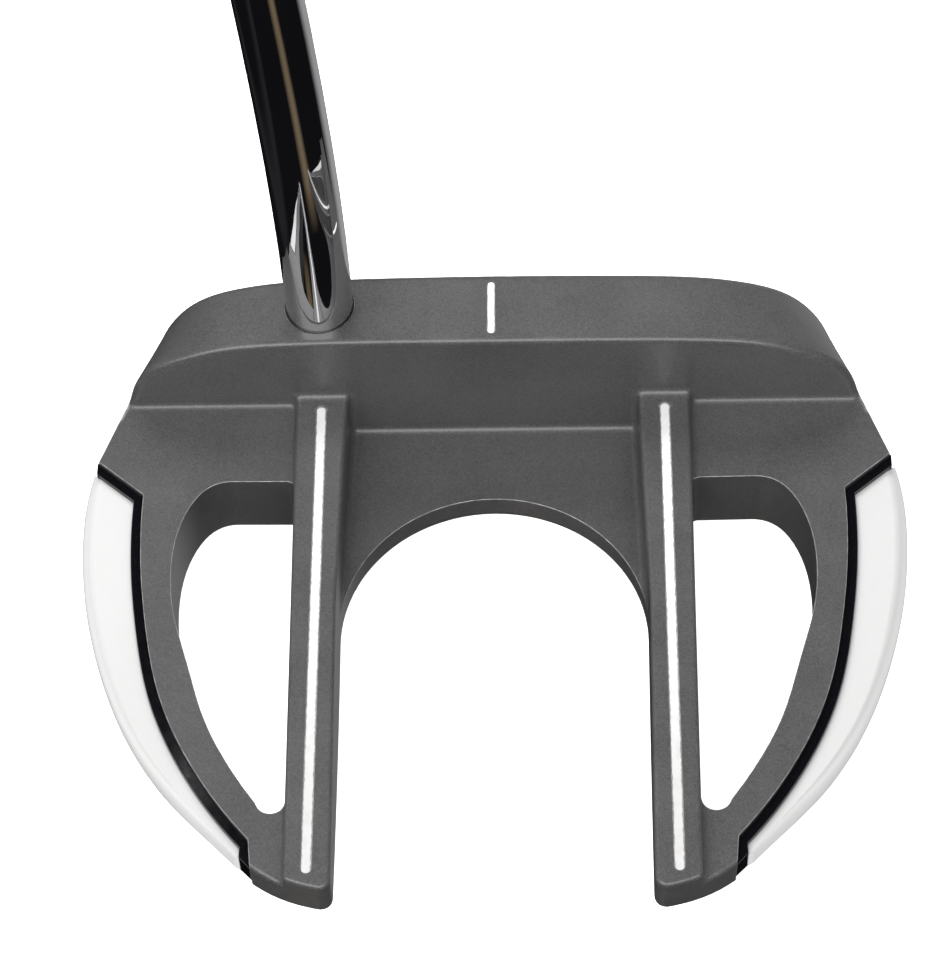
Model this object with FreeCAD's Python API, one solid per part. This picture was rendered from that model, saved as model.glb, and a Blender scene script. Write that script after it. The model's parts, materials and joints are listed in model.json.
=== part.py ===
import FreeCAD, Part
import os
from math import cos, pi, radians, sin, tan

# Mallet putter, right handed.  Millimetres.
# +X is the toe, -X the heel (shaft side), +Y the target side (the face), +Z up.
# The origin is on the flat sole, under the middle of the front bar's rear wall.

V = FreeCAD.Vector
UP = V(0, 0, 1)

# ---------------------------------------------------------------- driving dimensions
# heights above the sole
bar_top = 24.5            # top of the front bar
rail_top = 13.0           # tops of the two sight rails
flange_top = 11.0         # heel and toe flanges and arms
middle_top = 5.0          # low floor between the rails
ledge_top = 3.0           # ledge that carries each wing
ledge_bottom = 0.8

# front bar
rear_half_width = 50.9    # half width at the rear wall
front_half_width = 46.0   # half width at the face
bar_front_y = 14.6
face_top_y = 12.65        # face plane at the height of the bar's top
face_loft = 3.0           # degrees
wall_foot_y = 0.1         # rear wall where it meets the low floor
wall_draft = 2.5          # degrees
widest_z = 8.0            # height of the widest point of the bar's ends
flank_growth = 0.369      # half width gained per mm towards the back
# shoulders of the bar: share of the half width, drop below the top
rear_shoulder = [(0.0, 0.0), (0.40, 0.05), (0.61, 0.45), (0.71, 1.05),
                 (0.83, 3.1), (0.94, 6.6), (0.99, 13.0), (1.0, 16.5)]
front_shoulder = [(0.0, 0.35), (0.40, 0.7), (0.61, 1.45), (0.71, 2.5),
                  (0.83, 4.8), (0.94, 10.3), (0.99, 14.8), (1.0, 16.5)]

# arch that frames the ball, and the channel behind it
arch_radius = 20.65
arch_y = -32.3
channel_end_half = 20.25
tail_y = -74.4            # rearmost point of the rails

# rails
rail_inner_front = 19.75
rail_outer_front = 26.9
rail_outer_tail = 26.3
rail_line_x = 23.4
line_width = 1.3
line_depth = 0.35
line_front_y = -1.6
line_rear_y = -72.0
front_line_width = 1.0
front_line_y = (2.4, 10.8)

# wing notch and arms (toe side; the heel side mirrors it)
notch_corner = (47.3, -14.1)
notch_slope = 0.836
arm_curve = [(47.3, -14.1), (47.0, -26.0), (45.9, -34.6), (43.6, -45.0), (39.2, -54.9), (31.05, -66.2)]
arm_end = (30.7, -70.1)
window_curve = [(35.3, -12.2), (38.8, -13.4), (41.1, -16.6), (42.6, -21.6), (42.9, -27.5),
                (42.2, -33.0), (40.3, -39.6), (37.4, -48.9), (34.0, -55.6), (30.3, -61.1)]
window_front_y = -12.3
window_rear_y = -60.8
window_corner = 1.2

# wings and their trim
trim_thickness = 1.35
trim_front_shift = trim_thickness * (1 + notch_slope ** 2) ** 0.5
notch_tip_y = -8.75       # where the notch meets the flank
trim_top = 10.4
wing_curve = [(54.9, -9.2), (55.7, -15.5), (55.6, -21.5), (54.8, -28.6), (53.2, -35.9),
              (50.8, -43.2), (47.4, -50.4), (43.0, -56.8), (38.3, -62.1), (33.0, -67.9)]
wing_tail = (32.2, -68.4)
# height, share of the local width
wing_section = [(3.0, 0.80), (4.2, 0.94), (6.0, 1.0), (7.8, 0.97), (9.1, 0.88), (9.8, 0.72)]
wing_lift = 2.2           # wing's underside above the curved sole
ledge_inset = 2.2
wing_screw_places = [(51.6, -20.0), (48.9, -38.0)]
wing_screw_radius = 1.25
wing_screw_head_radius = 2.3
wing_screw_top = 7.5

# sole
camber_start_y = -30.0
camber_radius = 165.0
weight_x = 35.5
weight_y = 7.0
weight_radius = 4.5
weight_length = 6.0
weight_socket_radius = 1.7

# face insert
insert_half = 17.0
insert_low = 4.5
insert_high = 20.5
insert_corner = 5.0
insert_thickness = 3.0
insert_tape = 0.25

# shaft: tip, bends and butt
shaft_x = -23.2
shaft_y = 7.5
tip_radius = 4.55
tip_wall = 0.9
tip_z = 5.0
first_corner = V(shaft_x, shaft_y, 59.6)
first_bend_radius = 107.0
second_corner = V(-32.7, 35.2, 106.5)
second_bend_radius = 60.0
lie_lean = 19.5           # degrees from upright, towards the heel
bend_end = 40.0           # end of the bent section past the second corner
step_start = 95.0
step_pitch = 38.0
step_count = 11
butt_radius = 7.35
butt_wall = 0.45
butt_distance = 757.0     # butt end past the second corner
epoxy_gap = 0.15
plug_length = 6.0

# grip
grip_length = 266.7
grip_tape = 0.15
cap_thickness = 3.0
vent_radius = 1.2
# distance from the grip's lower end as a share, half width, flat, back
grip_sections = [(0.0, 8.9, 8.6, 9.0), (0.45, 10.6, 9.4, 10.8), (0.86, 12.6, 10.2, 15.0), (1.0, 12.4, 10.2, 15.6)]

ridge_radius = 0.8
face_edge_radius = 1.5
rail_radius = 0.55
hollow_radius = 1.0
flange_hollow_radius = 0.7
tail_sole_radius = 1.8
tail_top_radius = 0.6
tail_corner_radius = 1.5


# ---------------------------------------------------------------- helpers
def points(pairs):
    return [V(x, y, 0) for x, y in pairs]


def spline(vectors):
    curve = Part.BSplineCurve()
    curve.interpolate(vectors)
    return curve.toShape()


def line(a, b):
    return Part.LineSegment(a, b).toShape()


def arc(a, b, c):
    return Part.Arc(a, b, c).toShape()


def prism(edges, low, high):
    """Solid between two heights over a closed plan outline drawn at z = 0."""
    face = Part.Face(Part.Wire(edges))
    face.translate(V(0, 0, low))
    return face.extrude(V(0, 0, high - low))


def polygon_prism(pairs, low, high):
    loop = [V(x, y, 0) for x, y in pairs]
    return prism([line(a, b) for a, b in zip(loop, loop[1:] + loop[:1])], low, high)


def side_prism(pairs, half=90.0):
    """Solid across the whole width with a closed (y, z) outline."""
    loop = [V(-half, y, z) for y, z in pairs]
    edges = [line(a, b) for a, b in zip(loop, loop[1:] + loop[:1])]
    return Part.Face(Part.Wire(edges)).extrude(V(2 * half, 0, 0))


def mirrored(shape):
    return shape.mirror(V(0, 0, 0), V(1, 0, 0))


def rounded(shape, radius, wanted):
    """Round the edges whose bounding box passes the test."""
    chosen = [edge for edge in shape.Edges if wanted(edge.BoundBox)]
    return shape.makeFillet(radius, chosen) if chosen else shape


def face_y(z):
    return face_top_y + (bar_top - z) * tan(radians(face_loft))


def wall_y(z):
    return wall_foot_y + (z - middle_top) * tan(radians(wall_draft))


def notch_y(x):
    return notch_corner[1] + (x - notch_corner[0]) * notch_slope


def rail_outer(y):
    return rail_outer_front + (rail_outer_tail - rail_outer_front) * y / tail_y


def channel_half(y):
    return arch_radius + (channel_end_half - arch_radius) * (y - arch_y) / (tail_y - arch_y)


def offset_curve(pairs, distance):
    """Points moved sideways, to the left of the direction of travel seen from above."""
    moved = []
    for i, (x, y) in enumerate(pairs):
        before = pairs[max(i - 1, 0)]
        after = pairs[min(i + 1, len(pairs) - 1)]
        run = V(after[0] - before[0], after[1] - before[1], 0).normalize()
        moved.append((x - run.y * distance, y + run.x * distance))
    return moved


# ---------------------------------------------------------------- head body
def bar_section(y, half, shoulder):
    """Closed section of the bar across the head at one y."""
    right = [V(half * share, y, bar_top - drop) for share, drop in shoulder]
    left = [V(-p.x, y, p.z) for p in reversed(right[1:])]
    foot = half - 7.0
    bend = V(half - 2.0, y, 2.3)
    edges = [spline(left + right),
             arc(V(half, y, widest_z), bend, V(foot, y, 0)),
             line(V(foot, y, 0), V(-foot, y, 0)),
             arc(V(-foot, y, 0), V(-bend.x, y, bend.z), V(-half, y, widest_z))]
    return Part.Wire(edges)


def front_bar():
    bar = Part.makeLoft([bar_section(bar_front_y, front_half_width, front_shoulder),
                         bar_section(0.0, rear_half_width, rear_shoulder)], True, True)
    ahead = side_prism([(face_y(40), 40), (30, 40), (30, -5), (face_y(-5), -5)])
    behind = side_prism([(wall_y(40), 40), (-5, 40), (-5, flange_top), (wall_y(flange_top), flange_top)])
    bar = bar.cut(ahead).cut(behind)
    top_ridge = rounded(bar, ridge_radius, lambda b: b.YMax < 2.5 and b.ZMax > 20 and b.XLength > 60)
    return rounded(top_ridge, face_edge_radius, lambda b: b.YMin > 12 and b.ZMax > 20 and b.XLength > 60)


def is_tail_corner(box):
    return box.ZLength > 5 and box.YMax < tail_y + 0.1 and side_reach(box)[1] < channel_end_half + 0.1


def rear_arc():
    return arc(*points([arm_end, (26.0, -72.95), (channel_end_half, tail_y)]))


def chassis_outline():
    """Heel and toe flanges, arms and the floor between them, seen from above."""
    edge_x = 62.0
    front = 3.0
    toe = [line(V(edge_x, front, 0), V(edge_x, notch_y(edge_x), 0)),
           line(V(edge_x, notch_y(edge_x), 0), V(notch_corner[0], notch_corner[1], 0)),
           spline(points(arm_curve)),
           line(*points([arm_curve[-1], arm_end])),
           rear_arc(),
           line(V(channel_end_half, tail_y, 0), V(arch_radius, arch_y, 0))]
    heel = [mirrored(edge) for edge in toe]
    arch = arc(V(arch_radius, arch_y, 0), V(0, arch_y + arch_radius, 0), V(-arch_radius, arch_y, 0))
    front_edge = line(V(-edge_x, front, 0), V(edge_x, front, 0))
    return Part.sortEdges(toe + [arch] + heel + [front_edge])[0]


def flank():
    back = 90.0
    return Part.makeLoft([bar_section(0.0, rear_half_width, rear_shoulder),
                          bar_section(-back, rear_half_width + back * flank_growth, rear_shoulder)], True, True)


def window():
    toe = [line(V(rail_outer(window_front_y), window_front_y, 0), V(*window_curve[0], 0)),
           spline(points(window_curve)),
           arc(V(*window_curve[-1], 0), V(28.4, -62.6, 0), V(rail_outer(window_rear_y), window_rear_y, 0)),
           line(V(rail_outer(window_rear_y), window_rear_y, 0), V(rail_outer(window_front_y), window_front_y, 0))]
    solid = prism(toe, -5, 30)
    return rounded(solid, window_corner, lambda b: b.ZLength > 30 and b.XMax < rail_outer_front + 0.1)


def rail():
    plan = [line(V(rail_inner_front, 2, 0), V(rail_outer(2), 2, 0)),
            line(V(rail_outer(2), 2, 0), V(rail_outer(-80), -80, 0)),
            line(V(rail_outer(-80), -80, 0), V(channel_half(-80), -80, 0)),
            line(V(channel_half(-80), -80, 0), V(arch_radius, arch_y, 0)),
            line(V(arch_radius, arch_y, 0), V(rail_inner_front, 2, 0))]
    tail = prism([rear_arc(), line(V(channel_end_half, tail_y, 0), V(0, tail_y, 0)),
                  line(V(0, tail_y, 0), V(0, 5, 0)), line(V(0, 5, 0), V(arm_end[0], 5, 0)),
                  line(V(arm_end[0], 5, 0), V(*arm_end, 0))], 0, rail_top)
    solid = rounded(prism(plan, 0, rail_top).common(tail), tail_corner_radius, is_tail_corner)
    return rounded(solid, rail_radius, lambda b: b.ZMin > rail_top - 0.1 and b.YMin < 1)


def ledge():
    outer = offset_curve(wing_curve, -ledge_inset)
    inner = offset_curve(arm_curve, -2.0)
    edges = [spline(points(outer)),
             line(V(*outer[-1], 0), V(*inner[-1], 0)),
             spline(points(inner)),
             line(V(*inner[0], 0), V(*outer[0], 0))]
    return prism(edges, ledge_bottom, ledge_top)


def sole_envelope(raised=0.0):
    """Everything above the sole, or above a level over it: flat in front, curving up to the tail."""
    drop = 90.0
    end_y = camber_start_y - 60.0
    mid_y = camber_start_y - 30.0
    rise = [camber_radius - (camber_radius ** 2 - (y - camber_start_y) ** 2) ** 0.5 for y in (mid_y, end_y)]
    edges = [line(V(-drop, 40, 0), V(-drop, camber_start_y, 0)),
             arc(V(-drop, camber_start_y, 0), V(-drop, mid_y, rise[0]), V(-drop, end_y, rise[1])),
             line(V(-drop, end_y, rise[1]), V(-drop, end_y, 40)),
             line(V(-drop, end_y, 40), V(-drop, 40, 40)),
             line(V(-drop, 40, 40), V(-drop, 40, 0))]
    solid = Part.Face(Part.Wire(edges)).extrude(V(2 * drop, 0, 0))
    solid.translate(V(0, 0, raised))
    return solid


def middle_cut():
    """Opens the space above the low floor, between the rails."""
    low = side_prism([(wall_y(40), 40), (-80, 40), (-80, middle_top), (wall_foot_y, middle_top)])
    plan = polygon_prism([(-rail_inner_front, 4), (rail_inner_front, 4), (arch_radius, arch_y),
                          (channel_half(-80), -80), (-channel_half(-80), -80), (-arch_radius, arch_y)], 0, 40)
    return low.common(plan)


def line_slot(x, y_front, y_rear, width, low, high):
    half = width / 2
    edges = [line(V(x - half, y_rear + half, 0), V(x - half, y_front - half, 0)),
             arc(V(x - half, y_front - half, 0), V(x, y_front, 0), V(x + half, y_front - half, 0)),
             line(V(x + half, y_front - half, 0), V(x + half, y_rear + half, 0)),
             arc(V(x + half, y_rear + half, 0), V(x, y_rear, 0), V(x - half, y_rear + half, 0))]
    return prism(edges, low, high)


def sight_slots(rise):
    """The three engraved lines, filled up to a share of their depth."""
    level = rail_top - line_depth
    low = bar_top - line_depth
    return {
        "sight_line_heel": line_slot(-rail_line_x, line_front_y, line_rear_y, line_width, level, rail_top + rise),
        "sight_line_toe": line_slot(rail_line_x, line_front_y, line_rear_y, line_width, level, rail_top + rise),
        "sight_line_front": line_slot(0, front_line_y[1], front_line_y[0], front_line_width, low, bar_top + rise),
    }


def insert_solid(grow, front, back):
    """Rounded block square to the face, between two depths behind the face plane."""
    a = insert_half + grow
    low = insert_low - grow
    high = insert_high + grow
    block = Part.makeBox(2 * a, front - back, high - low, V(-a, back, low))
    block = block.makeFillet(insert_corner, [e for e in block.Edges if e.BoundBox.YLength > 0.9 * (front - back)])
    block.rotate(V(0, 0, bar_top), V(1, 0, 0), face_loft)
    block.translate(V(0, face_top_y, 0))
    return block


def wing_screw(x, y):
    shank = Part.makeCylinder(wing_screw_radius, wing_screw_top - ledge_bottom, V(x, y, ledge_bottom))
    head = Part.makeCone(wing_screw_head_radius, wing_screw_radius, 1.3, V(x, y, ledge_bottom))
    slot = Part.makeCylinder(0.9, 0.8, V(x, y, ledge_bottom))
    return shank.fuse(head).cut(slot).removeSplitter()


def wing_screw_hole(x, y):
    shank = Part.makeCylinder(wing_screw_radius, 20, V(x, y, -5))
    head = Part.makeCone(wing_screw_head_radius, wing_screw_radius, 1.3, V(x, y, ledge_bottom))
    below = Part.makeCylinder(wing_screw_head_radius, 5 + ledge_bottom, V(x, y, -5))
    return shank.fuse([head, below])


def sole_weight(x):
    body = Part.makeCylinder(weight_radius, weight_length, V(x, weight_y, 0.2))
    corners = [V(x + weight_socket_radius * cos(k * pi / 3), weight_y + weight_socket_radius * sin(k * pi / 3), 0.2)
               for k in range(6)]
    loop = [line(a, b) for a, b in zip(corners, corners[1:] + corners[:1])]
    socket = Part.Face(Part.Wire(loop)).extrude(V(0, 0, 2.5))
    edge = [e for e in body.Edges if e.BoundBox.ZMax < 0.3]
    return body.makeChamfer(0.4, edge).cut(socket)


def head_body():
    outline = Part.Face(Part.Wire(chassis_outline()))
    chassis = rounded(outline.extrude(V(0, 0, flange_top)), tail_corner_radius, is_tail_corner).common(flank())
    body = front_bar().fuse(chassis).cut(middle_cut())
    toe_rail = rail()
    body = body.fuse([toe_rail, mirrored(toe_rail), ledge(), mirrored(ledge())])
    gap = window()
    body = body.cut([gap, mirrored(gap)]).common(sole_envelope())
    body = body.removeSplitter()
    body = soften(body)
    cutters = list(sight_slots(1.0).values())
    cutters += [Part.makeCylinder(tip_radius + epoxy_gap, 40, V(shaft_x, shaft_y, tip_z - 0.3))]
    cutters += [insert_solid(0.05, 5, -insert_thickness - insert_tape)]
    for side in (-1, 1):
        cutters += [Part.makeCylinder(weight_radius, weight_length + 5.2, V(side * weight_x, weight_y, -5))]
        cutters += [wing_screw_hole(side * x, y) for x, y in wing_screw_places]
    return body.cut(cutters)


def near(value, target, slack=0.15):
    return abs(value - target) < slack


def flat_at(box, z):
    return box.ZLength < 0.05 and near(box.ZMin, z)


def side_reach(box):
    """Distances from the middle plane of the box's near and far sides."""
    return sorted((abs(box.XMin), abs(box.XMax)))


def is_wall_foot_at_middle(box):
    return flat_at(box, middle_top) and near(box.YMin, wall_foot_y) and box.XLength > 30


def is_rail_foot_at_middle(box):
    return flat_at(box, middle_top) and box.YLength > 10 and box.XLength < 1.5 and box.YMin > arch_y


def is_flange_hollow(box):
    wall = flat_at(box, flange_top) and near(box.YMin, wall_y(flange_top), 0.2) and box.XLength > 15
    beside_rail = box.XLength < 0.4 and side_reach(box)[1] < rail_outer_front + 0.1
    foot = flat_at(box, flange_top) and beside_rail and box.YLength > 5
    upright = beside_rail and side_reach(box)[0] > rail_outer_front - 0.2 and 1 < box.ZLength < 2 and box.YMin > 0.2
    return wall or foot or upright


def is_tail_sole(box):
    return box.YMax < arm_end[1] + 0.1 and box.ZMax < 6 and box.XLength > 2


def is_tail_top(box):
    return box.YMax < arm_end[1] + 0.1 and box.ZMin > flange_top - 0.1 and box.XLength > 2 and box.YLength > 0.8


def soften(body):
    """Hollow fillets where walls meet floors, then round the tail."""
    for radius, wanted in [(hollow_radius, is_wall_foot_at_middle),
                           (hollow_radius, is_rail_foot_at_middle),
                           (flange_hollow_radius, is_flange_hollow),
                           (tail_sole_radius, is_tail_sole),
                           (tail_top_radius, is_tail_top)]:
        body = rounded(body, radius, wanted)
    return body


# ---------------------------------------------------------------- wings
def wing_inner_points():
    """Line between wing and trim, from the notch to the tail."""
    inner = offset_curve(arm_curve, trim_thickness)
    inner[0] = (inner[0][0], notch_y(inner[0][0]) - trim_front_shift)
    return points(inner)


def wing(side):
    count = len(wing_curve)
    inner_line = spline(wing_inner_points())
    first, last = inner_line.ParameterRange
    inside = [inner_line.valueAt(first + (last - first) * k / (count - 1)) for k in range(count)]
    wires = []
    for z, share in wing_section:
        lift = V(0, 0, z)
        near = [p + lift for p in inside]
        tail = V(*wing_tail, z)
        anchors = near[:-1] + [tail]
        far = [a + (V(x, y, z) - a) * share for a, (x, y) in zip(anchors, wing_curve)]
        wires.append(Part.Wire([line(near[0], far[0]), spline(far), line(far[-1], tail),
                                line(tail, near[-1]), spline(near[::-1])]))
    solid = Part.makeLoft(wires, True, False)
    holes = [wing_screw_hole(x, y).common(Part.makeBox(200, 200, wing_screw_top + 5, V(-100, -100, -5)))
             for x, y in wing_screw_places]
    solid = solid.common(sole_envelope(wing_lift)).cut(holes + [wing_trim(1)])
    return solid if side > 0 else mirrored(solid)


def wing_trim(side):
    inner = wing_inner_points()
    tip_x = rear_half_width - flank_growth * notch_tip_y
    outer_x = tip_x - 0.2
    edges = [line(V(outer_x, notch_y(outer_x), 0), V(*notch_corner, 0)),
             spline(points(arm_curve)),
             line(*points([arm_curve[-1], arm_end])),
             line(*points([arm_end, wing_tail])),
             line(V(*wing_tail, 0), inner[-1]),
             spline(inner[::-1]),
             line(inner[0], V(outer_x, notch_y(outer_x) - trim_front_shift, 0)),
             line(V(outer_x, notch_y(outer_x) - trim_front_shift, 0), V(outer_x, notch_y(outer_x), 0))]
    solid = prism(edges, ledge_top, trim_top).common(sole_envelope(wing_lift))
    return solid if side > 0 else mirrored(solid)


# ---------------------------------------------------------------- shaft and grip
lean = V(-sin(radians(lie_lean)), 0, cos(radians(lie_lean)))


def bend_points(before, corner, after, radius):
    """Start, middle and end of the tangent arc that rounds a corner."""
    u = (before - corner).normalize()
    w = (after - corner).normalize()
    half_angle = u.getAngle(w) / 2
    reach = radius / tan(half_angle)
    centre = corner + (u + w).normalize() * (radius / sin(half_angle))
    middle = centre + (corner - centre).normalize() * radius
    return corner + u * reach, middle, corner + w * reach


def tube_path(low_z):
    low = V(shaft_x, shaft_y, low_z)
    end = second_corner + lean * bend_end
    a1, m1, b1 = bend_points(low, first_corner, second_corner, first_bend_radius)
    a2, m2, b2 = bend_points(first_corner, second_corner, end, second_bend_radius)
    return Part.Wire([line(low, a1), arc(a1, m1, b1), line(b1, a2), arc(a2, m2, b2), line(b2, end)])


def rod(radius):
    ring = Part.Wire([Part.Circle(V(shaft_x, shaft_y, tip_z), UP, radius).toShape()])
    return tube_path(tip_z).makePipeShell([ring], True, False)


def turned(profile, start):
    """Solid of revolution about the upper shaft axis; profile is (distance, radius)."""
    loop = [V(r, 0, s) for s, r in profile]
    edges = [line(a, b) for a, b in zip(loop, loop[1:] + loop[:1])]
    solid = Part.Face(Part.Wire(edges)).revolve(V(0, 0, 0), UP, 360)
    solid.Placement = FreeCAD.Placement(start, FreeCAD.Rotation(UP, lean))
    return solid


def step_profile():
    """Outside of the upper shaft: short steps from the tip size to the butt size."""
    rise = (butt_radius - tip_radius) / step_count
    outline = [(bend_end, tip_radius)]
    for k in range(step_count):
        s = step_start + k * step_pitch
        outline += [(s, tip_radius + k * rise), (s + 1.5, tip_radius + (k + 1) * rise)]
    return outline + [(butt_distance, butt_radius)]


def shaft():
    bent = rod(tip_radius).cut(rod(tip_radius - tip_wall))
    last_step = step_start + step_count * step_pitch
    inside = [(butt_distance, butt_radius - butt_wall), (last_step, butt_radius - butt_wall),
              (step_start, tip_radius - tip_wall), (bend_end, tip_radius - tip_wall)]
    profile = step_profile() + inside
    return bent.fuse(turned(profile, second_corner)).removeSplitter()


def shaft_epoxy():
    top = bar_top - 0.15
    outer = Part.makeCylinder(tip_radius + epoxy_gap, top - tip_z + 0.3, V(shaft_x, shaft_y, tip_z - 0.3))
    return outer.cut(Part.makeCylinder(tip_radius, 40, V(shaft_x, shaft_y, tip_z)))


def tip_plug():
    return Part.makeCylinder(tip_radius - tip_wall, plug_length, V(shaft_x, shaft_y, tip_z + 1.0))


def grip_wire(distance, half, flat, back):
    """Pistol section: flat under the thumbs, round at the back."""
    across = V(0, 1, 0)
    out = V(cos(radians(lie_lean)), 0, sin(radians(lie_lean)))
    centre = second_corner + lean * distance

    def at(u, v):
        return centre + out * u + across * v

    edge = 0.62 * half
    edges = [line(at(flat, -edge), at(flat, edge)),
             arc(at(flat, edge), at(0.55 * flat, 0.93 * half), at(-0.1 * flat, half)),
             arc(at(-0.1 * flat, half), at(-0.62 * back, 0.72 * half), at(-back, 0)),
             arc(at(-back, 0), at(-0.62 * back, -0.72 * half), at(-0.1 * flat, -half)),
             arc(at(-0.1 * flat, -half), at(0.55 * flat, -0.93 * half), at(flat, -edge))]
    return Part.Wire(edges)


def grip_blank():
    start = butt_distance - grip_length
    return Part.makeLoft([grip_wire(start + share * grip_length, half, flat, back)
                          for share, half, flat, back in grip_sections], True, False)


def grip():
    start = butt_distance - grip_length - 1
    bore = turned([(start, 0), (start, butt_radius + grip_tape), (butt_distance + 1, butt_radius + grip_tape),
                   (butt_distance + 1, 0)], second_corner)
    return grip_blank().cut(bore)


def grip_tape_sleeve():
    start = butt_distance - grip_length + 3
    outer = butt_radius + grip_tape
    return turned([(start, butt_radius), (start, outer), (butt_distance, outer), (butt_distance, butt_radius)],
                  second_corner)


def grip_cap():
    _, half, flat, back = grip_sections[-1]
    disc = Part.makeLoft([grip_wire(butt_distance, half, flat, back),
                          grip_wire(butt_distance + cap_thickness, half - 1.5, flat - 1.5, back - 1.5)], True, True)
    vent = turned([(butt_distance - 1, 0), (butt_distance - 1, vent_radius),
                   (butt_distance + cap_thickness + 1, vent_radius), (butt_distance + cap_thickness + 1, 0)],
                  second_corner)
    return disc.cut(vent)


# ---------------------------------------------------------------- all sub-parts
def build():
    nodes = {"head_body": head_body()}
    for name, slot in sight_slots(-0.05).items():
        nodes[name] = slot
    nodes["face_insert"] = insert_solid(0, 0, -insert_thickness)
    nodes["face_insert_tape"] = insert_solid(0, -insert_thickness, -insert_thickness - insert_tape)
    for side, name in ((-1, "heel"), (1, "toe")):
        nodes[name + "_wing"] = wing(side)
        nodes[name + "_wing_trim"] = wing_trim(side)
        nodes[name + "_wing_screws"] = Part.makeCompound([wing_screw(side * x, y) for x, y in wing_screw_places])
        nodes["sole_weight_" + name] = sole_weight(side * weight_x)
    nodes["shaft"] = shaft()
    nodes["shaft_epoxy"] = shaft_epoxy()
    nodes["shaft_tip_plug"] = tip_plug()
    nodes["grip"] = grip()
    nodes["grip_tape"] = grip_tape_sleeve()
    nodes["grip_cap"] = grip_cap()
    return nodes


os.makedirs("parts", exist_ok=True)
for name, shape in build().items():
    shape.exportStep("parts/" + name + ".step")
    print(name, "valid" if shape.isValid() else "INVALID", len(shape.Solids), round(shape.Volume, 1))
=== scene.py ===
import json
from math import cos, radians, sin

import bpy
from mathutils import Matrix, Vector

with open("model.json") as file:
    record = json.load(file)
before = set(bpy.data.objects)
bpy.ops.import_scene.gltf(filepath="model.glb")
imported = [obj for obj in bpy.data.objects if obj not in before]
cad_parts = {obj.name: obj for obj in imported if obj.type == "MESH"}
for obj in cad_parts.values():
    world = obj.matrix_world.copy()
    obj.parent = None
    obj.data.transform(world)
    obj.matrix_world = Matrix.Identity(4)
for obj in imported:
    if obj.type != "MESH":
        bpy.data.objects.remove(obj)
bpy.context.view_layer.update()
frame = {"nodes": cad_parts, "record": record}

NODES = frame["nodes"]
MM = 0.001

# ---------------------------------------------------------------- camera
SENSOR = 36.0                      # mm, along the longer side of the picture, its height
FOCAL_IN_HEIGHTS = 3.4944          # focal length as a multiple of the picture's height
CAMERA_YAW = -2.794                # degrees, turned from looking along +Y
CAMERA_ELEVATION = 57.0            # degrees above the horizon
CAMERA_ROLL = -2.990               # degrees
CAMERA_TARGET = Vector((-3.631, -13.0, 12.0)) * MM
CAMERA_DISTANCE = 452.2 * MM
CLIP_START = 0.01
CLIP_END = 50.0


def make_camera():
    yaw, elevation, roll = (radians(a) for a in (CAMERA_YAW, CAMERA_ELEVATION, CAMERA_ROLL))
    forward = Vector((sin(yaw) * cos(elevation), cos(yaw) * cos(elevation), -sin(elevation)))
    level = Vector((cos(yaw), -sin(yaw), 0.0))
    upright = level.cross(forward)
    right = level * cos(roll) + upright * sin(roll)
    up = upright * cos(roll) - level * sin(roll)
    data = bpy.data.cameras.new("camera")
    data.sensor_width = SENSOR
    data.lens = FOCAL_IN_HEIGHTS * SENSOR
    data.clip_start = CLIP_START
    data.clip_end = CLIP_END
    camera = bpy.data.objects.new("camera", data)
    camera.matrix_world = Matrix((right, up, -forward)).transposed().to_4x4()
    camera.location = CAMERA_TARGET - forward * CAMERA_DISTANCE
    bpy.context.scene.collection.objects.link(camera)
    bpy.context.scene.camera = camera


# ---------------------------------------------------------------- node helpers
MIX_COLOUR_A, MIX_COLOUR_B = 6, 7  # the mix node's colour sockets, which share names with others
MIX_COLOUR_RESULT = 2
BEVEL_SAMPLES = 8


def node(tree, kind, inputs=None, **settings):
    """Adds a node; an input is either a socket to link from or a plain value."""
    made = tree.nodes.new(kind)
    for key, value in settings.items():
        setattr(made, key, value)
    for key, value in (inputs or {}).items():
        if isinstance(value, bpy.types.NodeSocket):
            tree.links.new(value, made.inputs[key])
        else:
            made.inputs[key].default_value = value
    return made


def out(made, name=0):
    return made.outputs[name]


def grey(value):
    return (value, value, value, 1.0)


def place(tree):
    """Position on the object, in metres."""
    return out(node(tree, "ShaderNodeTexCoord"), "Object")


def noise(tree, scale, detail=2.0, roughness=0.5, at=None):
    """Soft noise around 0.5; the scale is in features a metre."""
    made = node(tree, "ShaderNodeTexNoise", {"Scale": scale, "Detail": detail, "Roughness": roughness})
    tree.links.new(at or place(tree), made.inputs["Vector"])
    return out(made, "Fac")


def cells(tree, scale, name="Color"):
    """Small cells, each with its own colour; the scale is in cells a metre."""
    made = node(tree, "ShaderNodeTexVoronoi", {"Scale": scale, "Vector": place(tree)})
    return out(made, name)


def spread(tree, value, low, high, to_low=0.0, to_high=1.0):
    """Maps low..high to to_low..to_high, clamped; low may be the larger."""
    made = node(tree, "ShaderNodeMapRange", {"Value": value, "From Min": low, "From Max": high,
                                             "To Min": to_low, "To Max": to_high})
    return out(made)


def math(tree, operation, a, b=0.0):
    return out(node(tree, "ShaderNodeMath", {0: a, 1: b}, operation=operation))


def times(tree, first, *others):
    for other in others:
        first = math(tree, "MULTIPLY", first, other)
    return first


def mix(tree, share, a, b):
    """Colour a where the share is 0, colour b where it is 1."""
    made = node(tree, "ShaderNodeMix", {"Factor": share, MIX_COLOUR_A: a, MIX_COLOUR_B: b},
                data_type="RGBA")
    return out(made, MIX_COLOUR_RESULT)


def bump(tree, height, strength, distance, normal=None):
    made = node(tree, "ShaderNodeBump", {"Height": height, "Strength": strength, "Distance": distance})
    if normal is not None:
        tree.links.new(normal, made.inputs["Normal"])
    return out(made)


def separate(tree, at):
    made = node(tree, "ShaderNodeSeparateXYZ", {0: at})
    return out(made, "X"), out(made, "Y"), out(made, "Z")


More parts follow.
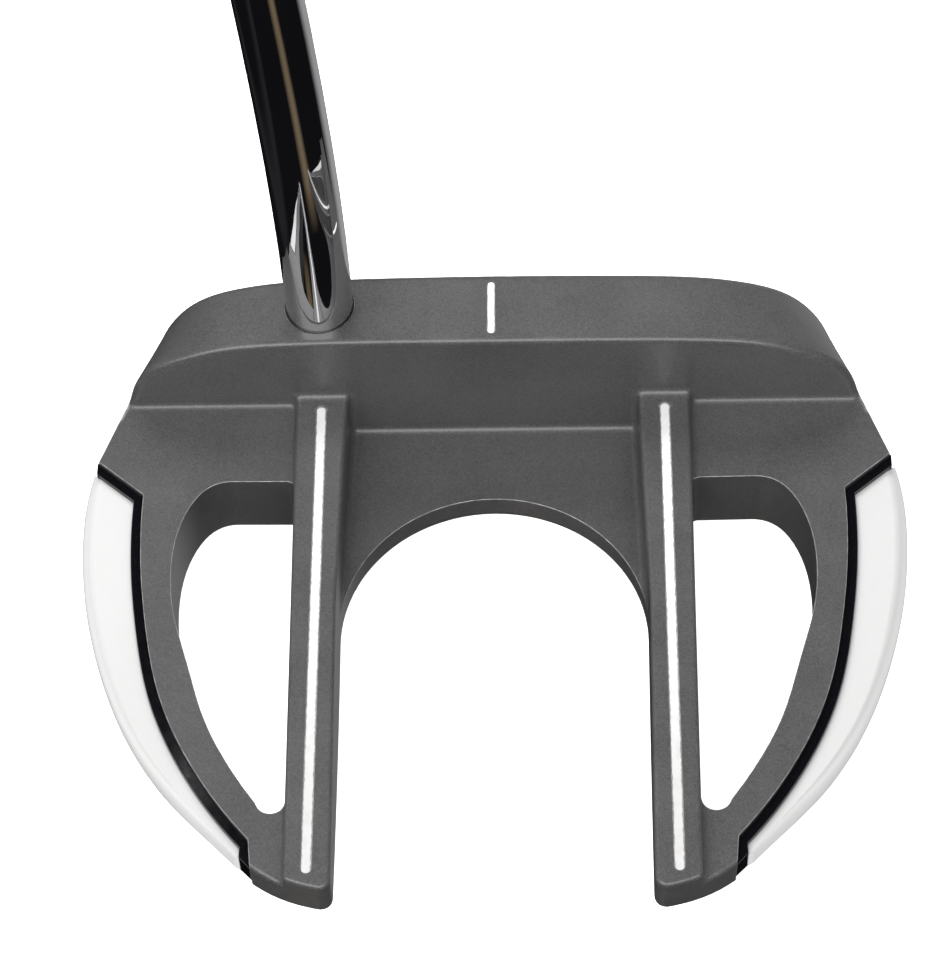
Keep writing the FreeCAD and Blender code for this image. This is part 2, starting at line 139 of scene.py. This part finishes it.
def new_material(name):
    material = bpy.data.materials.new(name)
    material.use_nodes = True
    tree = material.node_tree
    return material, tree, tree.nodes["Principled BSDF"]


def wire(tree, shader, **sockets):
    """Sets or links the shader's inputs; underscores stand for spaces."""
    for key, value in sockets.items():
        socket = shader.inputs[key.replace("_", " ")]
        if isinstance(value, bpy.types.NodeSocket):
            tree.links.new(value, socket)
        else:
            socket.default_value = value


def edge_share(tree, radius):
    """Rounded normal, and how near a point is to an edge, 0 to 1."""
    rounded = out(node(tree, "ShaderNodeBevel", {"Radius": radius}, samples=BEVEL_SAMPLES))
    flat = out(node(tree, "ShaderNodeNewGeometry"), "Normal")
    made = node(tree, "ShaderNodeVectorMath", {0: rounded, 1: flat}, operation="DOT_PRODUCT")
    return rounded, spread(tree, out(made, "Value"), 0.995, 0.80)


# ---------------------------------------------------------------- materials
EDGE_THIN = 0.22 * MM              # rounding of most edges of the head, and width of their painted highlight
EDGE_WIDE = 1.00 * MM              # rounding along the foot of the bar's rear wall, which also widens the painted highlight there
WALL_FOOT_Y = (-2.4 * MM, -1.8 * MM)
WALL_FOOT_Z = (18.0 * MM, 16.0 * MM)
WING_EDGE = 0.30 * MM
TRIM_EDGE = 0.15 * MM
RAIL_LINE_X = 23.4 * MM            # middle of each rail's sight line
FRONT_LINE_NARROWER = 0.14 * MM
LINE_HALF_WIDTH = (0.58 * MM, 0.68 * MM)   # where the fill starts to fade and where it ends
LINE_RAGGED = 0.17 * MM


def head_paint():
    """Satin dark grey paint with fine metallic grain, and edges painted lighter: partly wear, partly
    painted highlight.
    """
    material, tree, shader = new_material("head_paint")
    flake = separate(tree, cells(tree, 8200))[0]
    cloud = noise(tree, 90, detail=3)
    _, y, z = separate(tree, place(tree))
    by_wall = times(tree, spread(tree, y, *WALL_FOOT_Y), spread(tree, z, *WALL_FOOT_Z))
    rounded, edge = edge_share(tree, spread(tree, by_wall, 0.0, 1.0, EDGE_THIN, EDGE_WIDE))
    tone = math(tree, "ADD", spread(tree, flake, 0.0, 1.0, 0.0, 0.75),
                spread(tree, cloud, 0.3, 0.7, 0.0, 0.25))
    colour = mix(tree, tone, (0.062, 0.061, 0.062, 1), (0.138, 0.136, 0.138, 1))
    # Edges painted lighter, partly wear and partly painted highlight; along the foot of the bar's rear wall
    # the band is wider and is painted highlight.
    tint_share = times(tree, edge, spread(tree, noise(tree, 900, detail=3), 0.30, 0.70, 0.25, 1.0))
    wire(tree, shader,
         Base_Color=mix(tree, tint_share, colour, (0.80, 0.80, 0.802, 1)),
         Metallic=0.35,
         Roughness=spread(tree, math(tree, "ADD", flake, cloud), 0.4, 1.6, 0.34, 0.50),
         Normal=bump(tree, flake, 0.10, 0.02 * MM, rounded))
    shader.inputs["Specular IOR Level"].default_value = 0.7
    shader.inputs["Coat Weight"].default_value = 0.5
    shader.inputs["Coat Roughness"].default_value = 0.32
    return material


def wing_white():
    """Gloss white paint, faintly uneven, with painted light: a darker tone on top and a lighter one on its
    flank.
    """
    material, tree, shader = new_material("wing_white")
    soil = noise(tree, 900, detail=4)
    rounded, edge = edge_share(tree, WING_EDGE)
    # Painted light: a darker tone on top and a lighter one on the flank, standing in for how the light
    # falls on the wing.
    painted_top_tone = mix(tree, soil, (0.508, 0.508, 0.506, 1), (0.490, 0.490, 0.488, 1))
    upward = separate(tree, out(node(tree, "ShaderNodeNewGeometry"), "Normal"))[2]
    colour = mix(tree, spread(tree, upward, 0.75, 0.25), painted_top_tone, (0.78, 0.78, 0.775, 1))
    wire(tree, shader,
         Base_Color=mix(tree, times(tree, edge, 0.25), colour, (0.45, 0.45, 0.44, 1)),
         Roughness=spread(tree, noise(tree, 900), 0.3, 0.7, 0.28, 0.33),
         Normal=bump(tree, noise(tree, 500, detail=1), 0.02, 0.02 * MM, rounded))
    shader.inputs["Coat Weight"].default_value = 0.25
    shader.inputs["Coat Roughness"].default_value = 0.08
    return material


def trim_black():
    """Gloss black, with fine dust and a painted highlight hairline along its edges."""
    material, tree, shader = new_material("trim_black")
    dust = spread(tree, noise(tree, 3000, detail=4), 0.62, 0.8, 0.0, 0.5)
    rounded, edge = edge_share(tree, TRIM_EDGE)
    colour = mix(tree, dust, (0.003, 0.003, 0.004, 1), (0.030, 0.030, 0.033, 1))
    wire(tree, shader,
         # Painted highlight: the edges are lighter, standing in for the gloss catching light on the trim's
         # edges.
         Base_Color=mix(tree, times(tree, edge, 0.6), colour, (0.16, 0.16, 0.17, 1)),
         Roughness=spread(tree, noise(tree, 800), 0.3, 0.7, 0.08, 0.16),
         Normal=rounded)
    return material


def line_white():
    """Thick white paint fill: ragged edges, greyer towards the tail, and painted lighter at the front
    against the shade of the bar's wall.
    """
    material, tree, shader = new_material("line_white")
    x, y, _ = separate(tree, place(tree))
    side = math(tree, "ABSOLUTE", x)
    from_rail_line = math(tree, "ABSOLUTE", math(tree, "SUBTRACT", side, RAIL_LINE_X))
    from_middle = math(tree, "MINIMUM", from_rail_line, math(tree, "ADD", side, FRONT_LINE_NARROWER))
    fray = spread(tree, noise(tree, 1300, detail=4), 0.3, 0.75, 0.0, LINE_RAGGED)
    ragged = math(tree, "ADD", from_middle, fray)
    soil = spread(tree, noise(tree, 500, detail=6), 0.45, 0.85, 0.0, 0.45)
    tint_share = times(tree, soil, spread(tree, y, -20 * MM, -65 * MM, 0.5, 1.6))
    # Painted light: lighter towards the front, lifting the lines' front ends out of the shade of the bar's
    # rear wall; greyer towards the tail.
    tone_lighter_at_front = mix(tree, spread(tree, y, -15 * MM, -60 * MM), grey(0.76), (0.53, 0.525, 0.52, 1))
    colour = mix(tree, tint_share, tone_lighter_at_front, (0.42, 0.41, 0.40, 1))
    wire(tree, shader,
         Base_Color=mix(tree, spread(tree, ragged, *LINE_HALF_WIDTH, 0.0, 0.8), colour, grey(0.16)),
         Roughness=spread(tree, noise(tree, 1500), 0.3, 0.7, 0.35, 0.55),
         Normal=bump(tree, noise(tree, 1800, detail=3), 0.35, 0.08 * MM))
    return material


def shaft_chrome():
    """Mirror chrome with faint handling marks."""
    material, tree, shader = new_material("shaft_chrome")
    lengthwise = (1.0, 1.0, 0.04)      # draws the hairlines out along the shaft
    stretched = out(node(tree, "ShaderNodeMapping", {"Vector": place(tree), "Scale": lengthwise}))
    hairs = noise(tree, 5000, detail=2, at=stretched)
    smudge = noise(tree, 45, detail=4, roughness=0.6)
    wire(tree, shader,
         Base_Color=mix(tree, spread(tree, smudge, 0.4, 0.7), (0.78, 0.78, 0.79, 1), (0.70, 0.70, 0.71, 1)),
         Metallic=1.0,
         Roughness=math(tree, "ADD", spread(tree, smudge, 0.45, 0.75, 0.02, 0.07),
                        spread(tree, hairs, 0.6, 0.9, 0.0, 0.04)))
    return material


def plain_steel(name, light, rough):
    """Plain steel with a fine grain."""
    material, tree, shader = new_material(name)
    grain = noise(tree, 2600, detail=3)
    wire(tree, shader,
         Base_Color=mix(tree, grain, grey(light * 0.85), grey(light)),
         Metallic=1.0,
         Roughness=spread(tree, grain, 0.3, 0.7, rough, rough + 0.12),
         Normal=bump(tree, grain, 0.08, 0.02 * MM))
    return material


def insert_face():
    """Matt moulded face with fine level grooves."""
    material, tree, shader = new_material("insert")
    grooves = node(tree, "ShaderNodeTexWave", {"Vector": place(tree), "Scale": 110.0, "Distortion": 0.0},
                   bands_direction="Z", wave_profile="SAW")
    mottle = noise(tree, 1200, detail=4)
    wire(tree, shader,
         Base_Color=mix(tree, mottle, (0.035, 0.035, 0.038, 1), (0.060, 0.060, 0.064, 1)),
         Roughness=spread(tree, mottle, 0.3, 0.7, 0.45, 0.62),
         Normal=bump(tree, out(grooves, "Fac"), 0.5, 0.15 * MM, bump(tree, mottle, 0.1, 0.03 * MM)))
    return material


def moulded(name, dark, light, rough, scale, depth):
    """Moulded rubber or plastic with a fine pebble."""
    material, tree, shader = new_material(name)
    pebble = cells(tree, scale, name="Distance")
    cloud = noise(tree, 120, detail=4)
    wire(tree, shader,
         Base_Color=mix(tree, cloud, grey(dark), grey(light)),
         Roughness=spread(tree, cloud, 0.3, 0.7, rough, rough + 0.15),
         Normal=bump(tree, pebble, 0.6, depth))
    return material


MATERIALS = {
    "head_paint": head_paint,
    "wing_white": wing_white,
    "trim_black": trim_black,
    "line_white": line_white,
    "shaft_chrome": shaft_chrome,
    "screw_steel": lambda: plain_steel("screw_steel", 0.50, 0.28),
    "weight_steel": lambda: plain_steel("weight_steel", 0.58, 0.22),
    "insert": insert_face,
    "tape": lambda: moulded("tape", 0.45, 0.60, 0.6, 3000, 0.03 * MM),
    "epoxy": lambda: moulded("epoxy", 0.012, 0.020, 0.25, 2500, 0.02 * MM),
    "plug": lambda: moulded("plug", 0.030, 0.050, 0.6, 1500, 0.05 * MM),
    "grip_rubber": lambda: moulded("grip_rubber", 0.020, 0.032, 0.55, 900, 0.25 * MM),
    "cap_plastic": lambda: moulded("cap_plastic", 0.022, 0.035, 0.45, 1400, 0.06 * MM),
}


def dress_nodes():
    made = {name: build() for name, build in MATERIALS.items()}
    for part in frame["record"]["subparts"]:
        NODES[part["node"]].material_slots[0].material = made[part["material_slot"]]


# ---------------------------------------------------------------- studio
FLOOR_HALF = 6.0
FLOOR_DROP = 0.1 * MM              # keeps the floor clear of the sole
FLOOR_GLOW = 0.80
SKY = 0.80                         # diffuse light from above
SKY_BELOW = 0.17                   # bounced up from the floor under the head
SKY_SIDES = 1.3                    # bounced in from left and right
SKY_SIDES_X = (0.12, 0.45)
HORIZON_Z = (-0.10, 0.20)

# The room that glossy surfaces mirror. Each light has a colour and ramps along the direction's x, y
# or z; a ramp says where it is 0, where it is full, and how much full is.
ROOM_DARK = (0.006, 0.006, 0.007, 1)
ROOM_LIGHTS = {
    "faint band on the heel side": ((0.028, 0.028, 0.031, 1),
                                    [("x", -0.80, -0.72, 1.0), ("x", -0.62, -0.68, 0.6)]),
    "light wall beyond the toe": (grey(0.36),
                                  [("y", 0.12, 0.42, 1.0), ("x", 0.0, 0.12, 1.0), ("z", 0.25, -0.10, 1.0)]),
    "warm stripe": ((0.190, 0.145, 0.090, 1),
                    [("x", 0.14, 0.30, 1.0), ("x", 0.52, 0.40, 1.0),
                     ("z", -0.60, -0.45, 1.0), ("y", -0.55, -0.70, 0.9)]),
    "warm ground": ((0.170, 0.130, 0.075, 1),
                    [("x", -0.34, -0.28, 1.0), ("x", -0.14, -0.20, 1.0),
                     ("z", -0.66, -0.76, 1.0), ("y", -0.10, -0.30, 0.9)]),
    "ceiling": (grey(0.5),
                [("z", 0.70, 0.88, 1.0), ("y", 0.25, -0.05, 1.0)]),
}

# name: position, size and power in watts, and whether glossy surfaces mirror it
SOFTBOXES = {
    "overhead": ((-0.16, -0.50, 0.72), (1.5, 0.45), 7.5, True),
    "front": ((-0.12, 0.42, 0.42), (0.6, 0.3), 3.7, False),
}


def make_floor():
    mesh = bpy.data.meshes.new("floor")
    corners = [(-FLOOR_HALF, -FLOOR_HALF, 0), (FLOOR_HALF, -FLOOR_HALF, 0),
               (FLOOR_HALF, FLOOR_HALF, 0), (-FLOOR_HALF, FLOOR_HALF, 0)]
    mesh.from_pydata(corners, [], [(0, 1, 2, 3)])
    material, tree, shader = new_material("floor")
    wire(tree, shader,
         Base_Color=mix(tree, noise(tree, 3, detail=3), grey(0.90), grey(0.93)),
         Roughness=0.7,
         Emission_Color=grey(1.0),
         Emission_Strength=FLOOR_GLOW)
    mesh.materials.append(material)
    floor = bpy.data.objects.new("floor", mesh)
    floor.visible_diffuse = False
    floor.visible_glossy = False
    floor.location.z = -FLOOR_DROP
    bpy.context.scene.collection.objects.link(floor)


def softbox(name, at, size, power, seen_in_gloss):
    """A rectangular light aimed at the part's origin."""
    data = bpy.data.lights.new(name, "AREA")
    data.shape = "RECTANGLE"
    data.size, data.size_y = size
    data.energy = power
    light = bpy.data.objects.new(name, data)
    light.location = at
    light.rotation_mode = "QUATERNION"
    light.rotation_quaternion = (-Vector(at)).to_track_quat("-Z", "Y")
    light.visible_glossy = seen_in_gloss
    bpy.context.scene.collection.objects.link(light)


def mirrored_room(tree, along):
    room = ROOM_DARK
    for colour, ramps in ROOM_LIGHTS.values():
        shares = [spread(tree, along[axis], start, end, 0.0, full) for axis, start, end, full in ramps]
        room = mix(tree, times(tree, *shares), room, colour)
    return room


def make_world():
    """White to the eye, an even sky for diffuse light, and a dark room with light sides for gloss."""
    world = bpy.data.worlds.new("studio")
    world.use_nodes = True
    tree = world.node_tree
    x, y, z = separate(tree, out(node(tree, "ShaderNodeTexCoord"), "Generated"))
    low = spread(tree, math(tree, "ABSOLUTE", x), *SKY_SIDES_X, SKY_BELOW, SKY_SIDES)
    sky = mix(tree, spread(tree, z, *HORIZON_Z), low, grey(SKY))
    path = node(tree, "ShaderNodeLightPath")
    lit = mix(tree, out(path, "Is Glossy Ray"), sky, mirrored_room(tree, {"x": x, "y": y, "z": z}))
    seen = mix(tree, out(path, "Is Camera Ray"), lit, grey(1.0))
    tree.links.new(seen, tree.nodes["Background"].inputs["Color"])
    bpy.context.scene.world = world


def make_studio():
    make_floor()
    make_world()
    for name, (at, size, power, seen_in_gloss) in SOFTBOXES.items():
        softbox(name, at, size, power, seen_in_gloss)


# ---------------------------------------------------------------- all of it
bpy.context.scene.view_settings.view_transform = "Standard"
make_camera()
dress_nodes()
make_studio()
